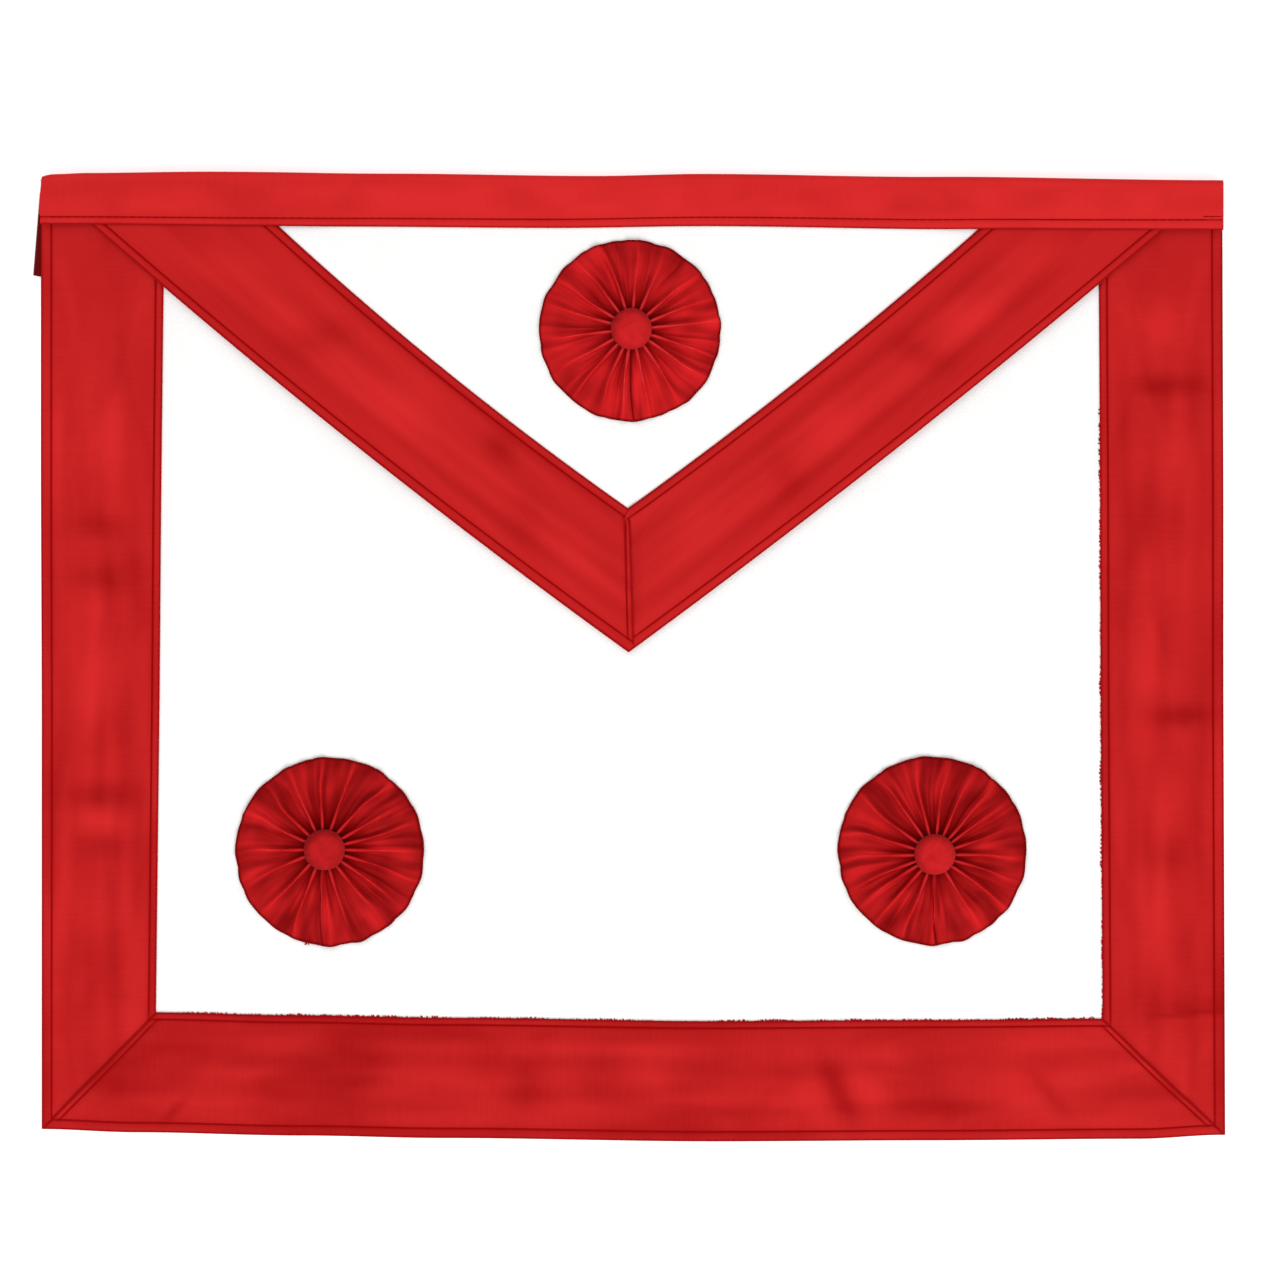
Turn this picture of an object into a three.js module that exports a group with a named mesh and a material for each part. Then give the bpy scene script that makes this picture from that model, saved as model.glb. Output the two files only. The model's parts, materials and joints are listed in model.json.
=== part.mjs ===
// Ceremonial apron, laid face up with its belt straps folded behind it.
// A white leather panel carries a pointed white flap. Red ribbons border both, with mitred corners,
// and a red waistband is folded over their top edge. Three gathered rosettes hold covered buttons.
// Millimetres: +X to the right in view, +Y up to the waistband, +Z out of the front.
import * as THREE from "three";

// Outline
const apronWidth = 400;
const apronHeight = 328.4;
const rightFlare = 1.3; // how far the lower right corner stands out
const edgeWander = 4.4; // furthest that the top and bottom edges stray from straight

// Cloth and leather
const leather = 1;
const ribbon = 1;
const gap = 0.3; // air between one layer and the next
const panelInset = 0.6; // how far a leather edge hides behind the ribbon that borders it

// Ribbon borders
const sideRibbonWidth = 42;
const leftNarrowing = 3.3; // the left ribbon loses this much width by its foot
const rightNarrowing = 0.6;
const bottomRibbonWidth = 40.8;
const flapRibbonWidth = 39.8;
const flapNarrowing = 2.1; // the flap's ribbons lose this much width by its point
const stitchInset = 3; // from a ribbon's edge to its row of stitches
const ribbonCrown = 0.7; // how far a ribbon puffs up between its rows of stitches
const ribbonSteps = 20;

// Flap
const flapDepth = 162.6; // from the top edge down to the point
const flapCornerDrop = 2.4; // the flap's corners lie this far below the top edge
const flapBowLeft = 3.4; // the flap's slanting edges bulge by this much
const flapBowRight = 2.6;
const tipWidth = 4; // blunt tip of the leather, hidden below the mitre

// Waistband
const waistbandDepth = 17.9; // at its left end
const hemDrop = 1.3; // its hem runs down by this much towards the right
const waistbandReturn = 13; // depth of the waistband behind the top edge
const waistbandCrown = 0.4;
const foldRadius = 1.8; // outside of the fold over the top edge
const endSlant = 2.4; // the left end leans out by this much
const waistbandSteps = 32;

// Belt straps, folded behind at the apron's sides
const beltWidth = 29;
const beltLength = 235; // from the fold to the free end
const beltLip = 14; // short end that is sewn to the apron's back
const leftFoldTilt = 6.8; // degrees that each fold leans from upright
const rightFoldTilt = 0.5;
const leftFoldInset = 1; // the left fold starts this far in from the apron's edge
const fitting = 1; // thickness of the metal hook and ring
const fittingGrip = 12; // length of a fitting that is sewn to its strap
const fittingWidth = 18;
const fittingBar = 3; // width of the metal round the ring's slot and along the hook
const ringSlot = 3.6;
const hookReach = 14; // length of the hook past its strap's end
const hookThroat = 3.4; // clear width inside the hook's bend

// Rosettes and covered buttons
const lowerRosetteRadius = 32;
const flapRosetteRadius = 30.7;
const rosetteAcross = 57.4; // hub of a lower rosette from the side ribbon's inner edge
const rosetteUp = 56.4; // and from the bottom ribbon's
const rosetteDrop = 4.2; // from the waistband down to the flap's rosette
const rosetteHeight = 4;
const pleatDepth = 1.3;
const pleatCount = 18;
const pleatSteps = 5;
const rimScallop = 0.4; // how far the rim bulges at a pleat
const hubRadius = 5.2; // hole at the middle of a rosette
const leftStray = [1.7, -0.85]; // how far a lower rosette's rim lies off centre from its hub
const rightStray = [-0.5, 1];
const buttonRadius = 7.2;
const buttonEdge = 1.1;
const buttonDome = 2.3;
const shankRadius = 3.4;

// How far down the apron drapes off the straps below it
const drapeLength = 90;
const drapeClearance = 4;

// The top edge from left to right: how far it drops below the apron's height, as a share of edgeWander
const topEdgeRows = [
  { across: 0, drop: 0.5 },
  { across: 0.04, drop: 0.13 },
  { across: 0.14, drop: 0 },
  { across: 0.3, drop: 0.13 },
  { across: 0.47, drop: 0.31 },
  { across: 0.56, drop: 0.15 },
  { across: 0.75, drop: 0.38 },
  { across: 1, drop: 0.66 },
];

// The bottom edge from left to right: how far it rises above its lowest stretch
const bottomEdgeRows = [
  { across: 0, rise: 0.95 },
  { across: 0.08, rise: 0.7 },
  { across: 0.22, rise: 0.45 },
  { across: 0.34, rise: 0.26 },
  { across: 0.57, rise: 0 },
  { across: 0.75, rise: 0.08 },
  { across: 0.93, rise: 0.2 },
  { across: 1, rise: 0.5 },
];

// Dents along each ribbon. along and long are shares of the ribbon's length, sink of its crown.
const sideDentsLeft = [
  { along: 0.27, long: 0.03, sink: 0.7 },
  { along: 0.34, long: 0.025, sink: 0.9 },
  { along: 0.62, long: 0.03, sink: 0.7 },
];
const sideDentsRight = [
  { along: 0.08, long: 0.02, sink: 0.5 },
  { along: 0.4, long: 0.03, sink: 0.9 },
  { along: 0.6, long: 0.06, sink: 0.4 },
  { along: 0.77, long: 0.03, sink: 0.8 },
];
const bottomDents = [
  { along: 0.12, long: 0.03, sink: 0.7 },
  { along: 0.33, long: 0.04, sink: 0.6 },
  { along: 0.47, long: 0.03, sink: 0.5 },
  { along: 0.67, long: 0.025, sink: 0.9 },
  { along: 0.83, long: 0.04, sink: 0.5 },
];
const flapDents = [
  { along: 0.2, long: 0.05, sink: 0.5 },
  { along: 0.45, long: 0.05, sink: 0.6 },
  { along: 0.72, long: 0.05, sink: 0.5 },
];

// Rosette, from its hub out to its rim. rise is a share of rosetteHeight, pleat of pleatDepth.
const rosetteRows = [
  { out: 0, rise: 0.85, pleat: 0.7 },
  { out: 0.12, rise: 1, pleat: 1 },
  { out: 0.32, rise: 0.97, pleat: 1 },
  { out: 0.58, rise: 0.8, pleat: 0.75 },
  { out: 0.82, rise: 0.55, pleat: 0.5 },
  { out: 1, rise: 0.3, pleat: 0.2 },
];

// Worked out from the sizes above
const half = apronWidth / 2;
const layer = ribbon + gap;
const lift = 2 * layer; // a strap and the waistband's return lie under the top of the apron
const topTuck = ribbon + 2 * gap; // the panels stop this far below the waistband's fold
const tipY = apronHeight - flapDepth;
const flapCornerY = apronHeight - flapCornerDrop;
const flapSlope = Math.atan2(flapCornerY - tipY, half);

const smooth = THREE.MathUtils.smoothstep;
const lerp = THREE.MathUtils.lerp;

// The value in a column of a table at a share of its first column's range, eased between the rows.
function tableAt(rows, key, column, share) {
  const next = rows.findIndex((row) => row[key] >= share);
  if (next <= 0) return rows[next < 0 ? rows.length - 1 : 0][column];
  const [a, b] = [rows[next - 1], rows[next]];
  return lerp(a[column], b[column], smooth(share, a[key], b[key]));
}

const acrossAt = (x) => THREE.MathUtils.clamp(x / apronWidth + 0.5, 0, 1);
const topEdge = (x) => apronHeight - edgeWander * tableAt(topEdgeRows, "across", "drop", acrossAt(x));
const bottomEdge = (x) => edgeWander * tableAt(bottomEdgeRows, "across", "rise", acrossAt(x));
const leftEdge = () => -half;
const rightEdge = (y) => half + rightFlare * (1 - THREE.MathUtils.clamp(y / apronHeight, 0, 1));

// Folded straps. side is -1 on the left and 1 on the right.
const beltTop = apronHeight - edgeWander - foldRadius - gap;
const belts = {
  left: { side: -1, tilt: THREE.MathUtils.degToRad(leftFoldTilt), foldInset: leftFoldInset },
  right: { side: 1, tilt: THREE.MathUtils.degToRad(rightFoldTilt), foldInset: 0 },
};

// A point of a strap's plan: along from its fold, and across from its upper to its lower edge.
// The lip runs level, and the strap behind it leans by twice the fold's tilt.
function beltPoint({ side, tilt, foldInset }, along, across, behind) {
  const lean = behind * 2 * tilt;
  const foldLength = beltWidth / Math.cos(tilt);
  const x = side * (half - foldInset + Math.sin(tilt) * foldLength * across);
  const y = beltTop - Math.cos(tilt) * foldLength * across;
  return [x - side * Math.cos(lean) * along, y - Math.sin(lean) * along];
}

// The apron lies on the floor at its foot, and on the straps and the waistband's return above.
const lowestStrap = beltPoint(belts.left, beltLength + hookReach, 1, 1)[1];
const drapeTop = lowestStrap - drapeClearance;
const drape = (y) => smooth(y, drapeTop - drapeLength, drapeTop);
const panelBack = (y) => lift * drape(y);
const panelFront = (y) => panelBack(y) + leather;
const flapBack = (y) => panelFront(y) + gap + layer * drape(y);
const flapFront = (y) => flapBack(y) + leather;

// Turns a closed geometry's faces round if they point inwards.
function faceOutward(geometry) {
  const position = geometry.attributes.position;
  const index = geometry.index;
  const [a, b, c] = [new THREE.Vector3(), new THREE.Vector3(), new THREE.Vector3()];
  let volume = 0;
  for (let i = 0; i < index.count; i += 3) {
    [a, b, c].forEach((corner, k) => corner.fromBufferAttribute(position, index.getX(i + k)));
    volume += a.dot(b.cross(c));
  }
  for (let i = 0; volume < 0 && i < index.count; i += 3) {
    const second = index.getX(i + 1);
    index.setX(i + 1, index.getX(i + 2));
    index.setX(i + 2, second);
  }
  geometry.computeVertexNormals();
  return geometry;
}

// A closed sheet: a unit box cut into columns and rows, whose corners move to place(column, row, front).
function sheet(columns, rows, place) {
  const geometry = new THREE.BoxGeometry(1, 1, 1, columns, rows, 1);
  const position = geometry.attributes.position;
  for (let i = 0; i < position.count; i += 1) {
    const column = Math.round((position.getX(i) + 0.5) * columns);
    const row = Math.round((position.getY(i) + 0.5) * rows);
    position.setXYZ(i, ...place(column, row, position.getZ(i) > 0));
  }
  return faceOutward(geometry);
}

// White panels
function bodyPanel() {
  const [columns, rows] = [12, 12];
  return sheet(columns, rows, (column, row, front) => {
    const u = column / columns;
    const v = row / rows;
    const x = lerp(leftEdge(), rightEdge(v * apronHeight), u) * (1 - panelInset / half);
    const y = lerp(bottomEdge(x) + panelInset, topEdge(x) - topTuck, v);
    return [x, y, front ? panelFront(y) : panelBack(y)];
  });
}

// How far a slanting edge of the flap bulges, square to its chord, at a share of its length.
const bowAt = (side, along) => (side < 0 ? flapBowLeft : flapBowRight) * 4 * along * (1 - along);

function flapPanel() {
  const [columns, rows] = [8, 14];
  return sheet(columns, rows, (column, row, front) => {
    const u = column / columns;
    const down = row / rows;
    const chord = lerp(half - panelInset, tipWidth / 2, down);
    const edge = (side) => side * (chord + bowAt(side, down) * Math.sin(flapSlope));
    const x = lerp(edge(-1), edge(1), u);
    const top = Math.min(topEdge(x) - topTuck, apronHeight);
    const y = lerp(top, tipY + panelInset + tipWidth, down);
    return [x, y, front ? flapFront(y) : flapBack(y)];
  });
}

// Ribbons. Their section runs from edge to edge: flat to each row of stitches, crowned between.
function ribbonSection(width) {
  const stitch = stitchInset / width;
  return [
    { across: 0, crown: 0 },
    { across: stitch, crown: 0 },
    { across: 0.3, crown: 0.8 },
    { across: 0.5, crown: 1 },
    { across: 0.7, crown: 0.8 },
    { across: 1 - stitch, crown: 0 },
    { across: 1, crown: 0 },
  ];
}

// What is left of the crown at a share of a ribbon's length, between its dents.
function crownAt(dents, along) {
  const sunk = dents.map(({ along: at, long, sink }) => sink * Math.exp(-(((along - at) / long) ** 2)));
  return 1 - Math.min(1, Math.max(...sunk));
}

// A ribbon whose plan is plan(along, across), that lies on seat(y), and that is pressed flat by
// fade(y) where another layer covers it.
function ribbonStrip(width, dents, seat, fade, plan) {
  const section = ribbonSection(width);
  return sheet(section.length - 1, ribbonSteps, (column, row, front) => {
    const { across, crown } = section[column];
    const along = row / ribbonSteps;
    const [x, y] = plan(along, across);
    const puff = ribbonCrown * crown * crownAt(dents, along) * fade(y);
    return [x, y, seat(y) + gap + puff + (front ? ribbon : 0)];
  });
}

// Where the flap's edge passes over a side ribbon's inner edge, and the ribbon starts to be covered.
const flapCrossY = flapCornerY - sideRibbonWidth * Math.tan(flapSlope) - 3 * flapBowLeft;
const fadeLength = 30;
const underFlap = (y) => 1 - smooth(y, flapCrossY - fadeLength, flapCrossY);
const hemAt = (x) => apronHeight - waistbandDepth - hemDrop * acrossAt(x);
const underWaistband = (y) => 1 - smooth(y, hemAt(half) - fadeLength, hemAt(half));
const mitreGap = gap / Math.SQRT2;

const sideBorders = {
  left: { side: -1, edge: leftEdge, narrowing: leftNarrowing, dents: sideDentsLeft },
  right: { side: 1, edge: rightEdge, narrowing: rightNarrowing, dents: sideDentsRight },
};

// Where a side ribbon's inner edge meets the bottom ribbon's
const innerFoot = ({ side, edge, narrowing }) => edge(0) - side * (sideRibbonWidth - narrowing);

function sideRibbon({ side, edge, narrowing, dents }) {
  return ribbonStrip(sideRibbonWidth, dents, panelFront, underFlap, (along, across) => {
    const width = sideRibbonWidth - narrowing * (1 - along);
    const inset = width * across;
    const corner = edge(0) - side * inset;
    const foot = bottomEdge(corner) + bottomRibbonWidth * across + mitreGap;
    const top = topEdge(corner) - topTuck;
    const y = lerp(foot, top, along);
    return [edge(y) - side * inset, y];
  });
}

function bottomRibbon() {
  return ribbonStrip(bottomRibbonWidth, bottomDents, panelFront, () => 1, (along, across) => {
    const left = lerp(leftEdge(), innerFoot(sideBorders.left), across) + mitreGap;
    const right = lerp(rightEdge(0), innerFoot(sideBorders.right), across) - mitreGap;
    const x = lerp(left, right, along);
    return [x, bottomEdge(x) + bottomRibbonWidth * across];
  });
}

function flapRibbon(side) {
  const overEdge = flapRibbonWidth / Math.sin(flapSlope);
  const overTip = (flapRibbonWidth - flapNarrowing) / Math.cos(flapSlope);
  return ribbonStrip(flapRibbonWidth, flapDents, flapFront, underWaistband, (along, across) => {
    const startX = half - overEdge * across;
    const end = [gap / 2, tipY + overTip * across];
    const bow = bowAt(side, along);
    const x = lerp(startX, end[0], along) + bow * Math.sin(flapSlope);
    const y = lerp(flapCornerY, end[1], along) - bow * Math.cos(flapSlope);
    return [side * x, Math.min(y, topEdge(side * x) - topTuck)];
  });
}

// Waistband: one ribbon folded over the top edge, from its front hem round to its return behind.
// Each station has its place below the top edge and its level, on the outside and on the inside.
function wrapStations(depth, front, back, returnDepth) {
  const slack = foldRadius * (1 - Math.SQRT1_2);
  const inner = foldRadius - ribbon;
  const innerSlack = ribbon + inner * (1 - Math.SQRT1_2);
  const middle = depth / 2;
  return [
    { out: [depth, front], in: [depth, front - ribbon] },
    { out: [depth - stitchInset, front], in: [depth - stitchInset, front - ribbon] },
    { out: [middle, front + waistbandCrown], in: [middle, front + waistbandCrown - ribbon] },
    { out: [foldRadius, front], in: [foldRadius, front - ribbon] },
    { out: [slack, front - slack], in: [innerSlack, front - innerSlack] },
    { out: [0, front - foldRadius], in: [ribbon, front - foldRadius] },
    { out: [0, back + foldRadius], in: [ribbon, back + foldRadius] },
    { out: [slack, back + slack], in: [innerSlack, back + innerSlack] },
    { out: [foldRadius, back], in: [foldRadius, back + ribbon] },
    { out: [returnDepth, back], in: [returnDepth, back + ribbon] },
  ];
}

function waistband() {
  const flapInner = half - flapRibbonWidth / Math.sin(flapSlope) - waistbandDepth / Math.tan(flapSlope);
  const stepLength = apronWidth / waistbandSteps;
  const lipEnd = half - beltLip - stepLength;
  const shortReturn = foldRadius + gap;
  const stationCount = wrapStations(waistbandDepth, 0, 0, 0).length;
  return sheet(waistbandSteps, stationCount - 1, (column, row, front) => {
    const level = lerp(-half, half, column / waistbandSteps);
    const overRibbon = smooth(Math.abs(level), flapInner - 2 * stepLength, flapInner - stepLength / 2);
    const frontLevel = flapFront(apronHeight) + gap + ribbon + layer * overRibbon;
    const backLevel = panelBack(apronHeight) - layer;
    const besideLip = smooth(Math.abs(level), lipEnd - stepLength, lipEnd);
    const returnDepth = lerp(waistbandReturn, shortReturn, besideLip);
    const depth = topEdge(level) - hemAt(level);
    const station = wrapStations(depth, frontLevel, backLevel, returnDepth)[row];
    const [below, z] = front ? station.out : station.in;
    const leftEnd = -half + leftFoldInset - endSlant * (below / depth);
    const x = lerp(leftEnd, rightEdge(apronHeight), column / waistbandSteps);
    return [x, topEdge(x) - below, z];
  });
}

// Belt strap: a hairpin in side view, from the lip under the apron's edge round to the free end.
function beltStrap(belt) {
  const outer = ribbon + gap / 2;
  const inner = gap / 2;
  const turn = (angle, radius) => [outer - radius * Math.sin(angle), outer + radius * Math.cos(angle)];
  const flat = (along, behind) => [
    [along, behind ? 0 : 2 * outer],
    [along, behind ? ribbon : 2 * outer - ribbon],
  ];
  const bends = [0, 0.25, 0.5, 0.75, 1].map((share) => share * Math.PI);
  const path = [
    flat(beltLip, false),
    ...bends.map((angle) => [turn(angle, outer), turn(angle, inner)]),
    flat(beltLength / 2, true),
    flat(beltLength, true),
  ];
  return sheet(path.length - 1, 2, (column, row, front) => {
    const [along, z] = path[column][front ? 0 : 1];
    const behind = 1 - THREE.MathUtils.clamp(z / (2 * outer), 0, 1);
    const flatBehind = column > bends.length ? 1 : behind;
    const [x, y] = beltPoint(belt, along, row / 2, column === 0 ? 0 : flatBehind);
    return [x, y, z];
  });
}

// Hook and ring: flat metal plates sewn on the straps' free ends. Their outlines run along the strap.
function onStrapEnd(shape, belt) {
  const plate = new THREE.ExtrudeGeometry(shape, { depth: fitting, bevelEnabled: false, curveSegments: 6 });
  const [x, y] = beltPoint(belt, beltLength, 0.5, 1);
  const heading = belt.side < 0 ? -2 * belt.tilt : Math.PI + 2 * belt.tilt;
  plate.rotateZ(heading);
  plate.translate(x, y, layer);
  return plate;
}

function hookShape() {
  const edge = fittingWidth / 2;
  const inner = hookThroat / 2;
  const outer = inner + fittingBar;
  const bend = hookReach - outer;
  const quarter = Math.PI / 2;
  const shape = new THREE.Shape();
  shape.moveTo(-fittingGrip, -edge);
  shape.lineTo(0, -edge);
  shape.lineTo(0, -outer);
  shape.lineTo(bend, -outer);
  shape.absarc(bend, 0, outer, -quarter, quarter, false);
  shape.lineTo(fittingBar, outer);
  shape.lineTo(fittingBar, inner);
  shape.lineTo(bend, inner);
  shape.absarc(bend, 0, inner, quarter, -quarter, true);
  shape.lineTo(0, -inner);
  shape.lineTo(0, edge);
  shape.lineTo(-fittingGrip, edge);
  return shape;
}

function ringShape() {
  const edge = fittingWidth / 2;
  const [near, far] = [fittingBar / 2, fittingBar / 2 + ringSlot];
  const shape = new THREE.Shape();
  shape.moveTo(-fittingGrip, -edge);
  shape.lineTo(far + fittingBar, -edge);
  shape.lineTo(far + fittingBar, edge);
  shape.lineTo(-fittingGrip, edge);
  const slot = new THREE.Path();
  slot.moveTo(near, -edge + fittingBar);
  slot.lineTo(far, -edge + fittingBar);
  slot.lineTo(far, edge - fittingBar);
  slot.lineTo(near, edge - fittingBar);
  shape.holes.push(slot);
  return shape;
}

// A lathe about +Z from [radius, height] points.
function turned(points, segments) {
  const outline = points.map(([radius, height]) => new THREE.Vector2(radius, height));
  return new THREE.LatheGeometry(outline, segments).rotateX(Math.PI / 2);
}

// Moves a geometry to a centre and settles each of its points on seat(y).
function settle(geometry, [x, y], seat) {
  const position = geometry.attributes.position;
  for (let i = 0; i < position.count; i += 1) {
    const placedY = position.getY(i) + y;
    position.setXYZ(i, position.getX(i) + x, placedY, position.getZ(i) + seat(placedY) + gap);
  }
  return faceOutward(geometry);
}

// Rosette: a ribbon gathered to a hole at its hub, pleated on top and hollow below.
function rosette(radius, hub, stray, seat) {
  const radiusAt = (out) => lerp(hubRadius, radius, out);
  const top = rosetteRows.map(({ out, rise }) => [radiusAt(out), rise * rosetteHeight]);
  const hollow = rosetteRows[0].rise * rosetteHeight - pleatDepth - ribbon;
  const points = [[hubRadius, hollow], ...top, [radius, 0], [hubRadius, hollow]];
  const geometry = turned(points.reverse(), pleatSteps * pleatCount);
  const position = geometry.attributes.position;
  for (let i = 0; i < position.count; i += 1) {
    const [x, y, z] = [position.getX(i), position.getY(i), position.getZ(i)];
    const out = (Math.hypot(x, y) - hubRadius) / (radius - hubRadius);
    const angle = Math.atan2(y, x);
    const crest = (0.5 + 0.5 * Math.cos(pleatCount * angle)) ** 1.5;
    const wave = (2 * crest - 1) * (1 + 0.2 * Math.sin(3 * angle));
    const onTop = z > hollow * (1 - out) + ribbon / 2;
    const pleat = onTop ? pleatDepth * tableAt(rosetteRows, "out", "pleat", out) * wave : 0;
    const spread = 1 + (rimScallop * crest * out) / radius;
    position.setXYZ(i, x * spread + stray[0] * out, y * spread + stray[1] * out, z + pleat);
  }
  return settle(geometry, hub, seat);
}

// Covered button: a shallow dome over a straight edge, with a shank through the rosette's hole.
function button(hub, seat) {
  const seatLevel = rosetteHeight + pleatDepth + gap;
  const shoulder = seatLevel + buttonEdge;
  const domePoint = (angle) => [buttonRadius * Math.cos(angle), shoulder + buttonDome * Math.sin(angle)];
  const dome = [0, 0.3, 0.6, 0.85].map((share) => domePoint((share * Math.PI) / 2));
  const points = [
    [0, 0],
    [shankRadius, 0],
    [shankRadius, seatLevel],
    [buttonRadius * 0.94, seatLevel],
    ...dome,
    [0, shoulder + buttonDome],
  ];
  return settle(turned(points.reverse(), 16), hub, seat);
}

const cloth = { metalness: 0, roughness: 0.5 };
const redRibbon = new THREE.MeshStandardMaterial({ color: 0xc92426, ...cloth });
const redFelt = new THREE.MeshStandardMaterial({ color: 0xc41f24, metalness: 0, roughness: 0.9 });
const whiteLeather = new THREE.MeshStandardMaterial({ color: 0xf6f5f2, metalness: 0, roughness: 0.6 });
const nickel = new THREE.MeshStandardMaterial({ color: 0xb8b8ba, metalness: 1, roughness: 0.35 });

const apron = new THREE.Group();

function add(name, geometry, material) {
  const mesh = new THREE.Mesh(geometry, material);
  mesh.name = name;
  apron.add(mesh);
}

add("body_panel", bodyPanel(), whiteLeather);
add("side_ribbon_left", sideRibbon(sideBorders.left), redRibbon);
add("side_ribbon_right", sideRibbon(sideBorders.right), redRibbon);
add("bottom_ribbon", bottomRibbon(), redRibbon);
add("flap_panel", flapPanel(), whiteLeather);
add("flap_ribbon_left", flapRibbon(-1), redRibbon);
add("flap_ribbon_right", flapRibbon(1), redRibbon);
add("waistband", waistband(), redRibbon);
add("belt_left", beltStrap(belts.left), redRibbon);
add("belt_right", beltStrap(belts.right), redRibbon);
add("belt_hook", onStrapEnd(hookShape(), belts.left), nickel);
add("belt_ring", onStrapEnd(ringShape(), belts.right), nickel);

function lowerHub(border) {
  const x = innerFoot(border) - border.side * rosetteAcross;
  return [x, bottomEdge(x) + bottomRibbonWidth + rosetteUp];
}

const flapHub = [0, hemAt(0) - rosetteDrop - flapRosetteRadius];
const [leftHub, rightHub] = [lowerHub(sideBorders.left), lowerHub(sideBorders.right)];
const rosettes = [
  { place: "flap", radius: flapRosetteRadius, hub: flapHub, stray: [0, 0], seat: flapFront },
  { place: "left", radius: lowerRosetteRadius, hub: leftHub, stray: leftStray, seat: panelFront },
  { place: "right", radius: lowerRosetteRadius, hub: rightHub, stray: rightStray, seat: panelFront },
];
rosettes.forEach(({ place, radius, hub, stray, seat }) => {
  add(`rosette_${place}`, rosette(radius, hub, stray, seat), redRibbon);
  add(`button_${place}`, button(hub, seat), redFelt);
});

// The origin is the middle of the footprint, on the surface that the apron lies on.
const extent = new THREE.Box3().setFromObject(apron);
const middle = extent.getCenter(new THREE.Vector3());
apron.position.set(-middle.x, -middle.y, -extent.min.z);

export default apron;
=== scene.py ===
import json
import math
import random

import bpy
from mathutils import Matrix, Vector, noise

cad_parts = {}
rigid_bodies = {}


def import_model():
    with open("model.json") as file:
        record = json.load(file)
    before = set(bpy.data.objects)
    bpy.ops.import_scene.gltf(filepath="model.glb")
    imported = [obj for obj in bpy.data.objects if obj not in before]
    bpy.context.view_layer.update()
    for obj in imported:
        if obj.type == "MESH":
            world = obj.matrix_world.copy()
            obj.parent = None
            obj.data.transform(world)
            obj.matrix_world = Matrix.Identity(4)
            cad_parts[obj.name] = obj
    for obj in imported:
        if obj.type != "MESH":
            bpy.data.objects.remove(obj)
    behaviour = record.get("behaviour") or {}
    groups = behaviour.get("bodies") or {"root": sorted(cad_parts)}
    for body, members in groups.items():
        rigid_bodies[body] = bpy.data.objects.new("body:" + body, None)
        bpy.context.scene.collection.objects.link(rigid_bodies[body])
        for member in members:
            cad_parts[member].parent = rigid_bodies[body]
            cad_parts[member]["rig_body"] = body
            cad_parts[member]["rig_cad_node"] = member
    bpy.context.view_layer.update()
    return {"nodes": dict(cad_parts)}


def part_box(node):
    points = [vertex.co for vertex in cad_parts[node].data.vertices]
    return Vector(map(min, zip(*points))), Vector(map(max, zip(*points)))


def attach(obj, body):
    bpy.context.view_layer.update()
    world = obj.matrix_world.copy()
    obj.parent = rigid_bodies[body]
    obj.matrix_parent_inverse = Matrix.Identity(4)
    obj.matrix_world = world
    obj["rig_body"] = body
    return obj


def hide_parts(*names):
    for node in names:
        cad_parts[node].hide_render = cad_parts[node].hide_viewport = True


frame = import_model()


# Studio: the apron lies on a white light table under soft light, seen by a long lens straight above.
# The key light stands towards the apron's foot, so the rosettes' pleats are shaded on their upper side, and
# painted shade there adds to it.
def material(name, **constants):
    """A new material with the fixed numbers of its shader set, and that shader."""
    made = bpy.data.materials.new(name)
    made.use_nodes = True
    shader = made.node_tree.nodes["Principled BSDF"]
    for socket, value in constants.items():
        shader.inputs[socket.replace("_", " ")].default_value = value
    return made, shader


bpy.ops.object.select_all(action="DESELECT")
bpy.ops.mesh.primitive_plane_add(size=8, location=(0, 0, -0.0002))
floor = bpy.context.object
floor.name = "floor"
paper, _ = material(
    "light_table",
    Base_Color=(0.72, 0.72, 0.72, 1),
    Roughness=0.9,
    Emission_Color=(1, 1, 1, 1),
    Emission_Strength=0.48,
)
floor.data.materials.append(paper)

bpy.ops.object.camera_add(location=(0.00345, 0.00585, 1.81))
camera = bpy.context.object
camera.data.sensor_width = 36
camera.data.lens = 150
bpy.context.scene.camera = camera


def soft_light(name, spot, size, power):
    """A square panel of light at a place, turned to the apron."""
    bpy.ops.object.light_add(type="AREA", location=spot)
    panel = bpy.context.object
    panel.name = name
    panel.rotation_euler = (-Vector(spot)).to_track_quat("-Z", "Y").to_euler()
    panel.data.size = size
    panel.data.energy = power


soft_light("key_light", (0.25, -0.85, 1.5), 1.4, 16.5)
soft_light("fill_light", (-0.4, 0.6, 1.6), 1.3, 7)
world = bpy.data.worlds.new("studio")
world.use_nodes = True
world.node_tree.nodes["Background"].inputs["Color"].default_value = (1, 1, 1, 1)
world.node_tree.nodes["Background"].inputs["Strength"].default_value = 0.59
bpy.context.scene.world = world
bpy.context.scene.view_settings.view_transform = "Standard"


# Body: one near-square panel of white lambskin, 1 mm thick. It lies on the floor at its foot and
# rises over the straps folded behind its top, and its edges hide under the ribbons.
# Places are in mm, from the apron's centre line, its lowest edge and the floor.
MM = 0.001
centre = (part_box("flap_ribbon_left")[1].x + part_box("flap_ribbon_right")[0].x) / 2
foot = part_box("bottom_ribbon")[0].y
half_width = 200
height = 328.4
right_flare = 1.3  # by which the right edge leans out at its foot
edge_inset = 0.6  # from the ribbons' outer edges to the leather's
under_fold = 1.6  # from the waistband's fold to the tops of the pieces inside it
drape_foot, drape_top = 140.3, 230.3  # between which the leather rises over the straps
leather = 1
air = 0.3  # between two layers
layer = leather + air

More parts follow.
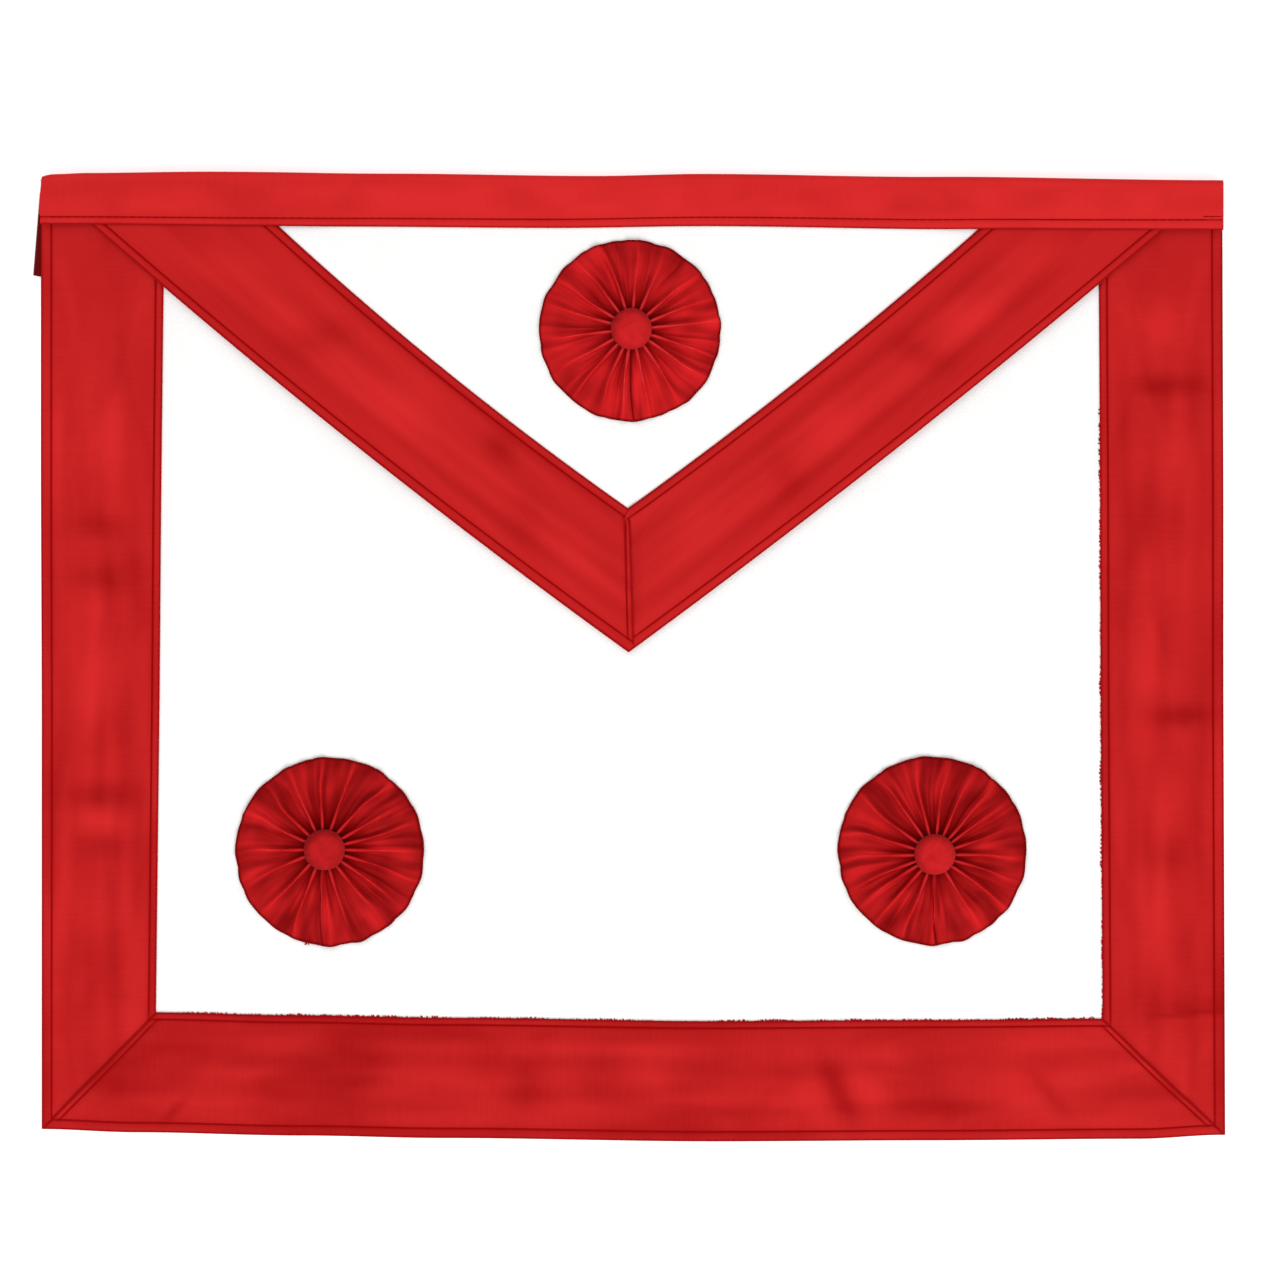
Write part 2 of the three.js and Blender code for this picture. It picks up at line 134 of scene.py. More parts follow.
top_rows = [
    (0, 1.3), (0.012, 0.85), (0.04, 0.45), (0.14, 0), (0.3, 0.57), (0.47, 1.36), (0.56, 0.66), (0.75, 1.67),
    (1, 2.9),
]
bottom_rows = [
    (0, 4.18), (0.08, 3.08), (0.22, 1.98), (0.34, 1.14), (0.57, 0), (0.75, 0.35), (0.93, 0.88), (1, 2.2),
]


def smooth(value, start, end):
    """0 before start, 1 after end, and eased between."""
    share = min(1, max(0, (value - start) / (end - start)))
    return share * share * (3 - 2 * share)


def mix(a, b, share):
    return a + (b - a) * share


def eased(rows, share):
    """The value at a share of a table's length, eased between its rows of share and value."""
    share = min(1, max(0, share))
    for (start, a), (end, b) in zip(rows, rows[1:]):
        if share <= end:
            return mix(a, b, smooth(share, start, end))
    return rows[-1][1]


def top_edge(x):
    return height - eased(top_rows, x / (2 * half_width) + 0.5)


def bottom_edge(x):
    return eased(bottom_rows, x / (2 * half_width) + 0.5)


def right_edge(y):
    return half_width + right_flare * (1 - min(1, max(0, y / height)))


def drape(y):
    """0 where the apron lies on the floor, and 1 where it lies on the folded straps."""
    return smooth(y, drape_foot, drape_top)


def body_front(y):
    return 2 * layer * drape(y) + leather


def place(x, y, z):
    return Vector((x * MM + centre, y * MM + foot, z * MM))


def ripple(x, y, size, seed):
    """Soft noise from -1 to 1 over a surface, whose swells are about size mm apart."""
    return noise.noise(Vector((x / size, y / size, seed)))


def lay(name, columns, rows, spot, marks=()):
    """A sheet of columns by rows of cells, face up. spot gives a corner's place in mm from its shares of
    the columns and the rows, then one value for each of the marks that the sheet's material reads."""
    bpy.ops.object.select_all(action="DESELECT")
    bpy.ops.mesh.primitive_grid_add(x_subdivisions=columns, y_subdivisions=rows, size=1)
    sheet = bpy.context.object
    sheet.name = sheet.data.name = name
    corners = sheet.data.vertices
    spots = [spot(corner.co.x + 0.5, corner.co.y + 0.5) for corner in corners]
    for corner, found in zip(corners, spots):
        corner.co = place(*found[:3])
    for column, mark in enumerate(marks, start=3):
        values = sheet.data.attributes.new(mark, "FLOAT", "POINT")
        values.data.foreach_set("value", [found[column] for found in spots])
    sheet.data.update()
    highest = max(sheet.data.polygons, key=lambda face: face.center.z)
    if highest.normal.z < 0:
        bpy.ops.object.mode_set(mode="EDIT")
        bpy.ops.mesh.select_all(action="SELECT")
        bpy.ops.mesh.flip_normals()
        bpy.ops.object.mode_set(mode="OBJECT")
    return sheet


def thicken(sheet, wall, angle=50):
    """Gives a sheet its thickness in mm, below its face, and smooths its shading."""
    bpy.context.view_layer.objects.active = sheet
    sheet.select_set(True)
    bpy.ops.object.modifier_add(type="SOLIDIFY")
    sheet.modifiers[-1].thickness = wall * MM
    sheet.modifiers[-1].offset = -1
    bpy.ops.object.modifier_apply(modifier=sheet.modifiers[-1].name)
    bpy.ops.object.shade_smooth_by_angle(angle=math.radians(angle))
    return sheet


def finish(piece, cloth, slot, *nodes):
    """Gives a piece its material, hangs it on the root body, and hides the CAD parts that it stands for."""
    piece.data.materials.clear()
    piece.data.materials.append(cloth)
    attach(piece, "root")
    if nodes:
        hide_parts(*nodes)


class Shade:
    """A value in a material's nodes, on which sums can be written."""

    def __init__(self, tree, socket=None):
        self.tree = tree
        self.socket = socket

    def make(self, kind, settings, sockets, output=0):
        """Any other node: its settings are set first, then its sockets are filled or linked."""
        node = self.tree.nodes.new(kind)
        for setting, value in settings.items():
            setattr(node, setting, value)
        for socket, value in sockets.items():
            if isinstance(value, Shade):
                self.tree.links.new(value.socket, node.inputs[socket])
            else:
                node.inputs[socket].default_value = value
        return Shade(self.tree, node.outputs[output])

    def math(self, operation, *values):
        return self.make("ShaderNodeMath", {"operation": operation}, dict(enumerate(values)))

    def __add__(self, other):
        return self.math("ADD", self, other)

    def __radd__(self, other):
        return self.math("ADD", other, self)

    def __sub__(self, other):
        return self.math("SUBTRACT", self, other)

    def __rsub__(self, other):
        return self.math("SUBTRACT", other, self)

    def __mul__(self, other):
        return self.math("MULTIPLY", self, other)

    def __rmul__(self, other):
        return self.math("MULTIPLY", other, self)

    def rise(self, start, end):
        """0 where the value is under start, 1 over end, and eased between."""
        settings = {"interpolation_type": "SMOOTHSTEP"}
        sockets = {"Value": self, "From Min": start, "From Max": end}
        return self.make("ShaderNodeMapRange", settings, sockets)

    def colour(self, low, high):
        """From one colour to another, as the value goes from 0 to 1."""
        sockets = {0: self, 6: (*low, 1), 7: (*high, 1)}
        return self.make("ShaderNodeMix", {"data_type": "RGBA"}, sockets, 2)

    def mottle(self, size, detail=2.0, distortion=0.0):
        """Cloudy noise from 0 to 1 over a place in mm, whose patches are about size mm."""
        sockets = {"Vector": self, "Scale": 1 / size, "Detail": detail, "Distortion": distortion}
        return self.make("ShaderNodeTexNoise", {}, sockets)

    def stretched(self, x, y, z):
        sockets = {0: self, 1: (x, y, z)}
        return self.make("ShaderNodeVectorMath", {"operation": "MULTIPLY"}, sockets)

    def bump(self, shader, strength=1.0):
        """Raises a shader's surface by the value, in mm."""
        relief = self.make("ShaderNodeBump", {}, {"Height": self, "Distance": MM, "Strength": strength})
        self.tree.links.new(relief.socket, shader.inputs["Normal"])

    def feed(self, shader, socket):
        self.tree.links.new(self.socket, shader.inputs[socket])


def object_place(made):
    """The place on the piece in mm."""
    start = Shade(made.node_tree).make("ShaderNodeTexCoord", {}, {}, "Object")
    return start.stretched(1 / MM, 1 / MM, 1 / MM)


lambskin, skin = material("white_lambskin", Specular_IOR_Level=0.3, Sheen_Weight=0.1, Sheen_Roughness=0.5)
spot = object_place(lambskin)
pores = spot.make("ShaderNodeTexVoronoi", {"feature": "DISTANCE_TO_EDGE"}, {"Vector": spot, "Scale": 1.1})
grain = spot.mottle(0.7, 4)
creasing = spot.stretched(1, 0.6, 1).mottle(16, 4, 0.6)
(creasing * 0.7 + grain * 0.3).rise(0.3, 0.75).colour((0.89, 0.886, 0.878), (0.93, 0.928, 0.923)).feed(
    skin, "Base Color"
)
(0.5 + 0.2 * grain).feed(skin, "Roughness")
(pores.rise(0, 0.25) * 0.035 + grain * 0.03 + creasing * 0.12).bump(skin)


def body_spot(u, v):
    x = mix(-half_width, right_edge(v * height), u) * (1 - edge_inset / half_width)
    y = mix(bottom_edge(x) + edge_inset, top_edge(x) - under_fold, v)
    return x, y, body_front(y) + 0.07 * ripple(x, y, 38, 1.5) - 0.05


body = thicken(lay("body_leather", 150, 125, body_spot), leather - 0.1)
finish(body, lambskin, "white_leather", "body_panel")


# Flap: a second piece of the same lambskin, cut to a point, that hangs from the waistband. Its slanting
# edges bulge a little, and hide under the ribbons that border it.
flap_tip = height - 162.6
flap_corner = height - 2.4
flap_slope = math.atan2(flap_corner - flap_tip, half_width)
flap_bows = {-1: 3.4, 1: 2.6}


def flap_front(y):
    return body_front(y) + air + layer * drape(y) + leather


def bow(side, along):
    return flap_bows[side] * 4 * along * (1 - along)


def flap_spot(u, v):
    start = top_edge(0) - 4
    y = mix(flap_tip + 4.6, start, v)
    down = (flap_corner - y) / (flap_corner - flap_tip)
    chord = mix(half_width, 0, down) - 2
    left = -chord - bow(-1, down) * math.sin(flap_slope)
    right = chord + bow(1, down) * math.sin(flap_slope)
    x = mix(left, right, u)
    y = min(y, top_edge(x) - under_fold)
    return x, y, flap_front(y) + 0.06 * ripple(x, y, 30, 4.5) - 0.05


flap = thicken(lay("flap_leather", 130, 80, flap_spot), leather - 0.1)
finish(flap, lambskin, "white_leather", "flap_panel")


# Side ribbons: moire ribbon about 42 mm wide, sewn down along both of its edges. It puffs up between the
# stitches, lies flat where the flap covers it, and its foot is tucked under the bottom ribbon's mitre.
ribbon_wall = 0.5
seam_depth = 0.42
tucked = 0.62  # a ribbon's rise where another lies on it
unsewn = 9  # a distance to stitches that is too far for any mark of them


def ribbon_cloth(name, deep, lightest, bright, moire, shine):
    """Red moire ribbon: ribs run across it, and watered patches along it. Its marks are the place along and
    across the ribbon, the distance to the nearest stitches, how light it looks from painted sheen and
    shade, and how dark it is from painted shade in folds and along edges. The deep colour is where painted
    shade is deepest, and the bright colour is a painted highlight."""
    made, shader = material(name, Specular_IOR_Level=shine, Sheen_Weight=0.05, Sheen_Roughness=0.4)
    shader.inputs["Sheen Tint"].default_value = (1, 0.2, 0.2, 1)
    start = Shade(made.node_tree)
    along, across, seam, light, fold = (
        start.make("ShaderNodeAttribute", {"attribute_name": mark}, {}, "Fac")
        for mark in ("along", "across", "seam", "light", "fold")
    )
    thread = start.make("ShaderNodeCombineXYZ", {}, {0: along, 1: across})
    watered = thread.stretched(0.55, 1.5, 1).mottle(24, 2.0, 0.9)
    slubs = thread.stretched(1, 0.08, 1).mottle(0.9, 2)
    lint = thread.mottle(0.35, 3)
    # painted shade in the stitch grooves, and a little beside them
    sunk = 1 - seam.rise(0.12, 0.42)
    shaded = 1 - seam.rise(0.1, 2.2)
    tone = 0.5 + moire * (watered - 0.5) + 0.36 * light + 0.12 * (slubs - 0.5) + 0.08 * (lint - 0.5)
    painted_shading = tone - 0.7 * sunk - 0.05 * shaded - 1.0 * fold
    dye_and_shade = painted_shading.rise(0.0, 1.0).colour(deep, lightest)
    # the lightest tones turn towards the bright colour: a painted highlight
    lit = {0: painted_shading.rise(0.85, 1.4), 6: dye_and_shade, 7: (*bright, 1)}
    start.make("ShaderNodeMix", {"data_type": "RGBA"}, lit, 2).feed(shader, "Base Color")
    (0.62 - 0.25 * (watered - 0.5) + 0.1 * (lint - 0.5)).feed(shader, "Roughness")
    ribs = (along * (2 * math.pi / 0.62)).math("SINE")
    weft = (across * (2 * math.pi / 0.4)).math("SINE")
    (0.022 * ribs + 0.008 * weft + 0.03 * slubs + 0.02 * lint).bump(shader, 0.7)
    return made


def closer(length, step, creases):
    """Places along a length: every step mm, and closer beside each crease."""
    near = [crease + gap for crease in creases for gap in (-1.1, -0.6, -0.3, 0, 0.3, 0.6, 1.1)]
    near = [at for at in near if 0 < at < length]
    count = max(1, round(length / step))
    even = [length * k / count for k in range(count + 1)]
    kept = [at for at in even if at in (0, length) or all(abs(at - other) > 0.35 * step for other in near)]
    return sorted(set(kept + near))


def sheen(share, across, length, width, patches):
    """How much lighter a ribbon looks at a place, from soft patches on it: painted sheen where a patch's
    tone is above 0, and painted shade where it is below. A patch has its shares of the length and the
    width, how far it reaches along and across in mm, and its tone."""
    light = 0
    for at, over, long, wide, tone in patches:
        ahead, beside = (share - at) * length / long, (over * width - across) / wide
        light += tone * math.exp(-(ahead**2) - beside**2)
    return light


def between(across, rows):
    """1 between a ribbon's two rows of stitches, and 0 in its hems."""
    return smooth(across, rows[0] - 0.7, rows[0]) * (1 - smooth(across, rows[1], rows[1] + 0.7))


def puffed(along, across, width, rows, light, seed, puff):
    """How a ribbon lies, in mm: its top over what it lies on, and the distance to its nearest stitches.
    Then how light it looks, with painted light on its swells and streaks and a little darker in its hems,
    and how dark its edges are from painted shade. rows are the places across of its stitches, and puff is 0
    where it is pressed flat."""
    edge = min(across, width - across)
    seam = min(abs(across - row) for row in rows)
    roll = 1 - math.exp(-((edge / 0.7) ** 2))
    swell = smooth(across, rows[0], rows[0] + 11) * (1 - smooth(across, rows[1] - 11, rows[1]))
    pucker = noise.noise(Vector((along / 4.3, across / 9, seed))) * math.exp(-seam / 3.5)
    waves = noise.noise(Vector((along / 17, across / 26, seed + 7)))
    streaks = noise.noise(Vector((along / 48, across / 5, seed + 3)))
    rise = 0.55 + 0.55 * roll - seam_depth * math.exp(-((seam / 0.4) ** 2))
    rise += puff * (swell * (0.55 + 0.3 * waves + 0.2 * streaks + 0.35 * light) + 0.16 * pucker)
    # painted light on the swells and streaks, and the hems a little darker
    light += puff * (0.35 * swell * waves + 0.5 * streaks) - 0.1 * (1 - between(across, rows))
    # the last value is painted shade along the edges
    return max(rise, ribbon_wall + 0.02), seam, light, 0.75 * math.exp(-((edge / 0.45) ** 2))


# the light mark holds painted sheen and shade, and the fold mark holds painted shade in folds and along
# edges
ribbon_marks = ("along", "across", "seam", "light", "fold")
moire_ribbon = ribbon_cloth(
    "red_moire_ribbon", (0.31, 0.0006, 0.001), (0.66, 0.019, 0.0195), (0.72, 0.035, 0.036), 0.3, 0.06
)

side_width = 42
bottom_width = 40.8
side_rows = (3.6, side_width - 2.7)
side_length = 320
crease_height = 44.1  # of the faint crease across the right ribbon, near its foot
flap_cross = flap_corner - side_width * math.tan(flap_slope) - 3 * flap_bows[-1]
sides = {
    "left": {
        "side": -1,
        "narrowing": 3.3,
        "patches": [
            (0.1, 0.4, 14, 9, -0.3),
            (0.252, 0.55, 5, 10, -0.7),
            (0.28, 0.5, 4, 8, 0.4),
            (0.308, 0.5, 5, 12, -0.8),
            (0.42, 0.4, 20, 8, 0.4),
            (0.548, 0.5, 5, 9, -0.6),
            (0.607, 0.5, 5, 10, -0.7),
            (0.7, 0.6, 16, 10, 0.4),
        ],
    },
    "right": {
        "side": 1,
        "narrowing": 0.6,
        "patches": [
            (0.15, 0.5, 14, 10, 0.4),
            (0.245, 0.45, 7, 9, -0.5),
            (0.4, 0.35, 4, 10, -0.9),
            (0.44, 0.55, 6, 9, 0.3),
            (0.57, 0.45, 24, 9, 0.2),
            (0.765, 0.45, 4, 12, -0.9),
            (0.83, 0.5, 9, 9, 0.5),
        ],
    },
}


def outer_edge(side, y):
    return -half_width if side < 0 else right_edge(y)


def inner_foot(side):
    return outer_edge(side, 0) - side * (side_width - sides["left" if side < 0 else "right"]["narrowing"])


def side_spot(key, along, across):
    """A place on a side ribbon's top, from mm along it and across it."""
    side, narrowing, patches = (sides[key][word] for word in ("side", "narrowing", "patches"))
    share, over = along / side_length, across / side_width
    inset = (side_width - narrowing * (1 - share)) * over
    corner = outer_edge(side, 0) - side * inset
    mitre = bottom_edge(corner) + bottom_width * over
    y = mix(mitre - 3.4 * smooth(over, 0, 0.12), top_edge(corner) - under_fold, share)
    puff = 1 - smooth(y, flap_cross - 26, flap_cross)
    seed = 11.5 if side < 0 else 23.5
    middle_foot = bottom_edge(corner) + bottom_width / 2
    level = (y - middle_foot) / (height - middle_foot)
    light = sheen(level, across, side_length, side_width, patches)
    rise, seam, light, painted_shading = puffed(y, across, side_width, side_rows, light, seed, puff)
    rise = mix(tucked, rise, smooth((y - mitre) * math.sqrt(0.5), -0.6, 3.5))
    # painted shade along the right ribbon's crease and above it, where it is pressed
    if side > 0:
        above = y - crease_height + 0.085 * across
        pressed = 1 - smooth(across, 14, 32)
        line = pressed * math.exp(-((above / 0.85) ** 2))
        rise -= 0.2 * line
        painted_shading += 0.2 * line + 0.17 * pressed * smooth(above, -0.4, 0.8) / max(1, above / 4)
    return outer_edge(side, y) - side * inset, y, body_front(y) + rise, y, across, seam, light, painted_shading


def strip(name, length, width, alongs, rows, spot, flip=False):
    """A ribbon laid over a grid that is closer at its rows of stitches, the edges and the mitre."""
    acrosses = closer(width, 1.6, [0.5, *rows, width - 0.5])

    def corner(u, v):
        share = 1 - u if flip else u
        return spot(alongs[round(v * (len(alongs) - 1))], acrosses[round(share * (len(acrosses) - 1))])

    return lay(name, len(acrosses) - 1, len(alongs) - 1, corner, ribbon_marks)


def sew(spot, start, end, pitch=2.7):
    """Both ends of each stitch of a row, whose thread lies on spot(distance) from start to end."""
    thread = 2.4
    count = int((end - start) / pitch)
    ends = []
    for k in range(count):
        first = place(*spot(start + k * pitch)[:3])
        last = place(*spot(start + k * pitch + thread)[:3])
        ends.append((first, last))
    return ends


red_thread, twist = material("red_thread", Specular_IOR_Level=0.04)
spot = object_place(red_thread)
(0.4 + 0.6 * spot.mottle(1.4, 3)).rise(0.2, 1).colour((0.2, 0.0002, 0.0004), (0.34, 0.0005, 0.001)).feed(
    twist, "Base Color"
)
(0.55 + 0.15 * spot.mottle(0.3)).feed(twist, "Roughness")
(0.03 * spot.stretched(1, 1, 3).mottle(0.25)).bump(twist)

bpy.ops.object.select_all(action="DESELECT")
bpy.ops.mesh.primitive_uv_sphere_add(segments=8, ring_count=4, radius=1)
bpy.ops.object.mode_set(mode="EDIT")
bpy.ops.transform.resize(value=(0.23 * MM, 0.17 * MM, 0.5))
bpy.ops.object.mode_set(mode="OBJECT")
stitch = bpy.context.object
stitch_corners = [corner.co.copy() for corner in stitch.data.vertices]
stitch_faces = [tuple(face.vertices) for face in stitch.data.polygons]
bpy.data.objects.remove(stitch)


def copies(name, corners, faces, turns):
    """One mesh of many copies of a small one, each turned and placed by a matrix."""
    mesh = bpy.data.meshes.new(name)
    every = [turn @ corner for turn in turns for corner in corners]
    count = len(corners)
    shifted = [tuple(k * count + i for i in face) for k in range(len(turns)) for face in faces]
    mesh.from_pydata(every, [], shifted)
    piece = bpy.data.objects.new(name, mesh)
    bpy.context.scene.collection.objects.link(piece)
    bpy.ops.object.select_all(action="DESELECT")
    piece.select_set(True)
    bpy.context.view_layer.objects.active = piece
    bpy.ops.object.shade_smooth()
    return piece


def stitching(name, rows):
    """Every stitch of some rows: a short thread that runs from hole to hole in the ribbon's groove."""
    turns = []
    for first, last in [ends for row in rows for ends in row]:
        run = last - first
        turn = run.to_track_quat("Z", "Y").to_matrix().to_4x4()
        middle = (first + last) / 2 + Vector((0, 0, 0.04 * MM))
        turns.append(Matrix.Translation(middle) @ turn @ Matrix.Diagonal((1, 1, run.length, 1)))
    finish(copies(name, stitch_corners, stitch_faces, turns), red_thread, "red_ribbon")


side_alongs = closer(side_length, 1.35, [4.6])
for key in sides:
    cloth = strip(
        f"side_ribbon_{key}_cloth",
        side_length,
        side_width,
        side_alongs,
        side_rows,
        lambda along, across, key=key: side_spot(key, along, across),
        flip=key == "right",
    )
    finish(thicken(cloth, ribbon_wall), moire_ribbon, "red_ribbon", f"side_ribbon_{key}")
    rows = [
        sew(
            lambda along, key=key, row=row: side_spot(key, along, row),
            2.5 if row < 20 else 5.5,
            side_length - 25,
        )
        for row in side_rows
    ]
    stitching(f"side_stitches_{key}", rows)


# Bottom ribbon: the same ribbon across the foot. Both of its ends are folded under at 45 degrees, and lie
# on the side ribbons' feet, with a row of stitches beside each fold.
bottom_length = 401
bottom_rows_sewn = (3.3, bottom_width - 2.4)
mitre_seam = 2.0
bottom_patches = [
    (0.02, 0.62, 12, 8, -0.5),
    (0.098, 0.2, 2.5, 5, -0.9),
    (0.1, 0.38, 5, 10, 0.35),
    (0.128, 0.42, 14, 10, 0.6),
    (0.21, 0.78, 16, 5, -0.55),
    (0.23, 0.33, 13, 10, -0.6),
    (0.29, 0.6, 20, 7, 0.35),
    (0.37, 0.38, 10, 8, 0.4),
    (0.4, 0.45, 6, 9, -0.5),
    (0.44, 0.4, 10, 10, 0.6),
    (0.515, 0.58, 10, 7, 0.45),
    (0.545, 0.45, 8, 10, -0.3),
    (0.61, 0.55, 12, 6, 0.45),
    (0.665, 0.35, 8, 8, 0.5),
    (0.69, 0.42, 4.5, 12, -1.1),
    (0.715, 0.45, 7, 10, 0.7),
    (0.745, 0.38, 7, 7, -0.4),
    (0.78, 0.3, 9, 8, -0.4),
    (0.85, 0.42, 12, 9, 0.5),
    (0.882, 0.38, 3.5, 9, -0.6),
    (0.92, 0.38, 16, 9, 0.5),
]


def bottom_spot(along, across):
    share, over = along / bottom_length, across / bottom_width
    left = mix(-half_width, inner_foot(-1), over)
    right = mix(right_edge(0), inner_foot(1), over)
    x = mix(left, right, share)
    y = bottom_edge(x) + bottom_width * over
    light = 0.72 * sheen(share, across, bottom_length, bottom_width, bottom_patches)
    light += 0.25 * smooth(x, -90, -10) - 0.33
    rise, seam, light, painted_shading = puffed(x, across, bottom_width, bottom_rows_sewn, light, 31.5, 1)
    fold = min(x - left, right - x) * math.sqrt(0.5)
    beside = abs(fold - mitre_seam)
    corner = smooth(across, 0, 5) * smooth(bottom_width - across, 0, 3)
    sewn = between(across, bottom_rows_sewn)
    rise += corner * 0.34 * (1 - smooth(fold, 1.2, 8)) - 0.3 * sewn * math.exp(-((beside / 0.5) ** 2))
    rise -= 0.22 * math.exp(-((fold / 0.35) ** 2))
    # painted shadow along each mitre's fold
    painted_shading = max(painted_shading, 1.1 * math.exp(-((fold / 0.5) ** 2)))
    return x, y, body_front(y) + rise, x, across, min(seam, beside + 3 * (1 - sewn)), light, painted_shading


bottom_alongs = closer(bottom_length, 1.35, [0.6, 2.85, bottom_length - 2.85, bottom_length - 0.6])
cloth = strip(
    "bottom_ribbon_cloth", bottom_length, bottom_width, bottom_alongs, bottom_rows_sewn, bottom_spot
)
finish(thicken(cloth, ribbon_wall), moire_ribbon, "red_ribbon", "bottom_ribbon")

rows = [
    sew(lambda along, row=row: bottom_spot(along, row), 5, bottom_length - 5) for row in bottom_rows_sewn
]
for turned in (False, True):

    def mitre_row(distance, turned=turned):
        """A place on the row of stitches beside a mitre's fold, from its inner end."""
        across = bottom_width - 2.6 - distance
        over = across / bottom_width
        run = mix(2 * half_width, inner_foot(1) - inner_foot(-1), over)
        along = mitre_seam * math.sqrt(2) * bottom_length / run
        return bottom_spot(bottom_length - along if turned else along, across)

    rows.append(sew(mitre_row, 0, bottom_width - 2.6 - bottom_rows_sewn[0], pitch=1.95))
stitching("bottom_stitches", rows)


# Flap ribbons: the same ribbon down both slanting edges of the flap. The left one's end is folded over
# the right one's at the point, just right of the middle, with a row of stitches beside the fold.
flap_width = 39.8
flap_length = 256
flap_rows = (2.7, flap_width - 3)
flap_patches = {
    -1: [
        (0.2, 0.45, 12, 9, 0.3),
        (0.38, 0.5, 8, 10, -0.5),
        (0.55, 0.55, 14, 9, 0.35),
        (0.72, 0.75, 9, 5, -0.7),
        (0.8, 0.4, 8, 10, -0.3),
        (0.9, 0.4, 12, 9, 0.2),
    ],
    1: [
        (0.18, 0.5, 12, 9, 0.3),
        (0.33, 0.5, 10, 9, 0.4),
        (0.42, 0.5, 6, 10, -0.5),
        (0.6, 0.5, 12, 9, 0.4),
        (0.7, 0.4, 6, 9, -0.4),
        (0.86, 0.6, 14, 8, 0.3),
    ],
}


hem_rows = [(0, 17.9), (0.25, 18.6), (0.44, 19.05), (0.56, 18.45), (0.78, 19.55), (1, 19.8)]


def hem_at(x):
    """The height of the waistband's hem, which covers the flap's top."""
    return height - eased(hem_rows, x / (2 * half_width) + 0.5)


def flap_ribbon_spot(side, along, across):
    share, over = along / flap_length, across / flap_width
    start = half_width - flap_width / math.sin(flap_slope) * over
    end_y = flap_tip + (flap_width - 2.1) / math.cos(flap_slope) * over
    past = mix(-side, -mix(0.9, -0.5, over) if side < 0 else -1.9, smooth(over, 0, 0.06))
    x = mix(start, past, share) + bow(side, share) * math.sin(flap_slope)
    y = mix(flap_corner, end_y, share) - bow(side, share) * math.cos(flap_slope)
    hem = smooth(over, 0.925, 0.94)
    slant = 1.7 * (1 - max(0, over - 0.94) / 0.06)
    back = hem * (slant - 0.3 if side < 0 else 0.8 - slant) * smooth(share, 0.97, 1)
    x += back
    y += back * math.tan(flap_slope)
    y = min(y, top_edge(side * x) - under_fold)
    puff = 1 - smooth(y, hem_at(half_width) - 26, hem_at(half_width) + 1)
    down = x * math.cos(flap_slope) + (flap_corner - y) * math.sin(flap_slope)
    light = sheen(share, across, flap_length, flap_width, flap_patches[side])
    rise, seam, light, painted_shading = puffed(down, across, flap_width, flap_rows, light, 41.5 + side, puff)
    # stronger painted shade along the flap ribbons' edges
    painted_shading *= 1.5
    fold = (x - past) if side < 0 else x
    sewn = between(across, flap_rows)
    if side < 0:
        beside = abs(fold - 2.1)
        rise += smooth(over, 0, 0.1) * (1 - hem) * 0.4 * (1 - smooth(fold, 1.4, 8))
        rise -= sewn * (0.3 * math.exp(-((beside / 0.5) ** 2)) + 0.22 * math.exp(-((fold / 0.35) ** 2)))
        seam = min(seam, beside + 3 * (1 - sewn))
        # painted shadow along the left ribbon's fold
        painted_shading = max(painted_shading, 1.1 * sewn * math.exp(-((fold / 0.5) ** 2)))
    else:
        rise = mix(tucked, rise, max(hem, smooth(fold, 0, 4.5)))
        rise += 0.3 * hem * (1 - smooth(fold, 0, 4))
        # painted shade at the right ribbon's end
        painted_shading = max(painted_shading, 0.9 * hem * math.exp(-(((flap_length - along) / 0.5) ** 2)))
    return side * x, y, flap_front(y) + rise, down, across, seam, light, painted_shading


flap_alongs = closer(flap_length, 1.35, [flap_length - 2.6, flap_length - 0.6])
for side, key in ((-1, "left"), (1, "right")):
    cloth = strip(
        f"flap_ribbon_{key}_cloth",
        flap_length,
        flap_width,
        flap_alongs,
        flap_rows,
        lambda along, across, side=side: flap_ribbon_spot(side, along, across),
    )
    finish(thicken(cloth, ribbon_wall), moire_ribbon, "red_ribbon", f"flap_ribbon_{key}")
    rows = [
        sew(
            lambda along, side=side, row=row: flap_ribbon_spot(side, along, row),
            18 if row < 20 else 40,
            flap_length - 3.2,
        )
        for row in flap_rows
    ]
    if side < 0:
        end = flap_length - 2.65
        rows.append(sew(lambda down: flap_ribbon_spot(-1, end, flap_width - 3 - down), 0, 34, pitch=2.1))
    stitching(f"flap_stitches_{key}", rows)


# Waistband: one ribbon folded over the top edge of the body and the flap, with a row of stitches above
# its front hem, and a few sewn back over them at its right end. Its left end slants, where it is turned
# in over the belt.
band_fold = 1.8
band_rows = 300
band_front = 0.56  # the share of the rows up its front; the rest go over the fold and down the back
band_press = 0.15  # by which it is pressed below its level


def band_level(x):
    """The height of the waistband's front, which is raised over the flap ribbons at both ends."""
    over = smooth(abs(x), 96, 120)
    return flap_front(height) + air + 1 + layer * over


def band_seam(x):
    """How far the waistband's stitches are above its hem."""
    return mix(2.5, 3.4, x / (2 * half_width) + 0.5)


